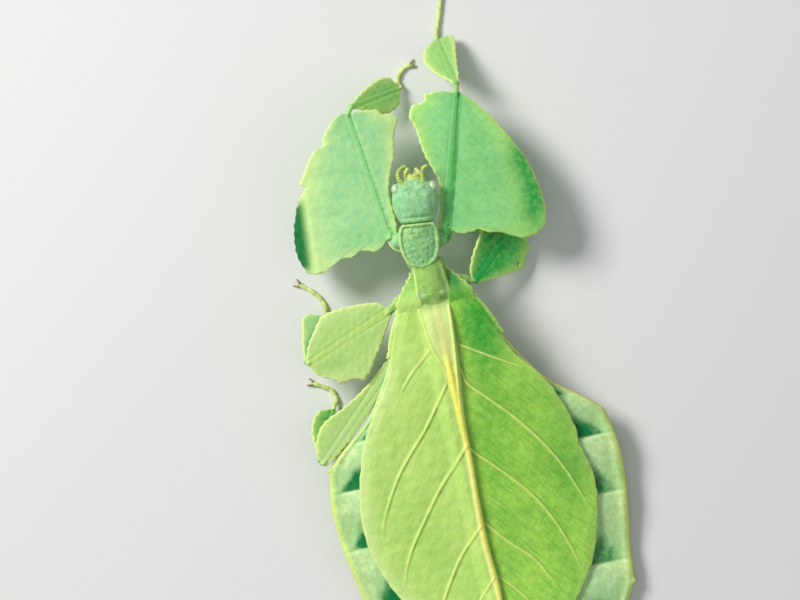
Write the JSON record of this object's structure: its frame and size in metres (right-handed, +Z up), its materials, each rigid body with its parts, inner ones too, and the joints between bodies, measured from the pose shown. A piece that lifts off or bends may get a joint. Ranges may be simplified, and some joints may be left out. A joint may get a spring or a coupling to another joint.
{
  "type": "leaf insect",
  "caption": "Female leaf insect at life size, crouching flat: leaf-like wing covers over a broad flat abdomen, and legs with leaf-like lobes.",
  "frame": {"origin": "middle of the footprint on the floor, below the front of the wing covers' veined field", "axes": "+X to the insect's left, -Y towards the head, +Z up from the floor"},
  "size_m": [0.054, 0.1377, 0.0141],
  "materials": {
    "head_green": "satin, finely grained, mint green",
    "wing_green": "satin, yellow-green with paler veins",
    "abdomen_green": "satin, pale green with dark green patches",
    "lobe_green": "satin, pale green with a cream rim",
    "lime_green": "satin, lime green",
    "foot_green": "satin, yellow-green",
    "eye_cream": "glossy, pale cream"
  },
  "bodies": {
    "root": {"head": "head_green", "eye_left": "eye_cream", "eye_right": "eye_cream", "antenna_left": "foot_green", "antenna_right": "foot_green", "mouthparts": "foot_green", "pronotum": "head_green", "mesothorax": "wing_green", "metathorax": "wing_green", "abdomen": "abdomen_green", "cercus_left": "abdomen_green", "cercus_right": "abdomen_green", "wing_cover_left": "wing_green", "wing_cover_right": "wing_green", "fore_left_coxa": "lobe_green", "fore_left_femur": "lobe_green", "fore_left_tibia": "lobe_green", "fore_left_tarsus": "foot_green", "fore_right_coxa": "lobe_green", "fore_right_femur": "lobe_green", "fore_right_tibia": "lobe_green", "fore_right_tarsus": "foot_green", "mid_left_coxa": "lime_green", "mid_left_femur": "lime_green", "mid_left_tibia": "lime_green", "mid_left_tarsus": "foot_green", "mid_right_coxa": "lime_green", "mid_right_femur": "lime_green", "mid_right_tibia": "lime_green", "mid_right_tarsus": "foot_green", "hind_left_coxa": "lime_green", "hind_left_femur": "lime_green", "hind_left_tibia": "lime_green", "hind_left_tarsus": "foot_green", "hind_right_coxa": "lime_green", "hind_right_femur": "lime_green", "hind_right_tibia": "lime_green", "hind_right_tarsus": "foot_green"}
  },
  "joints": []
}
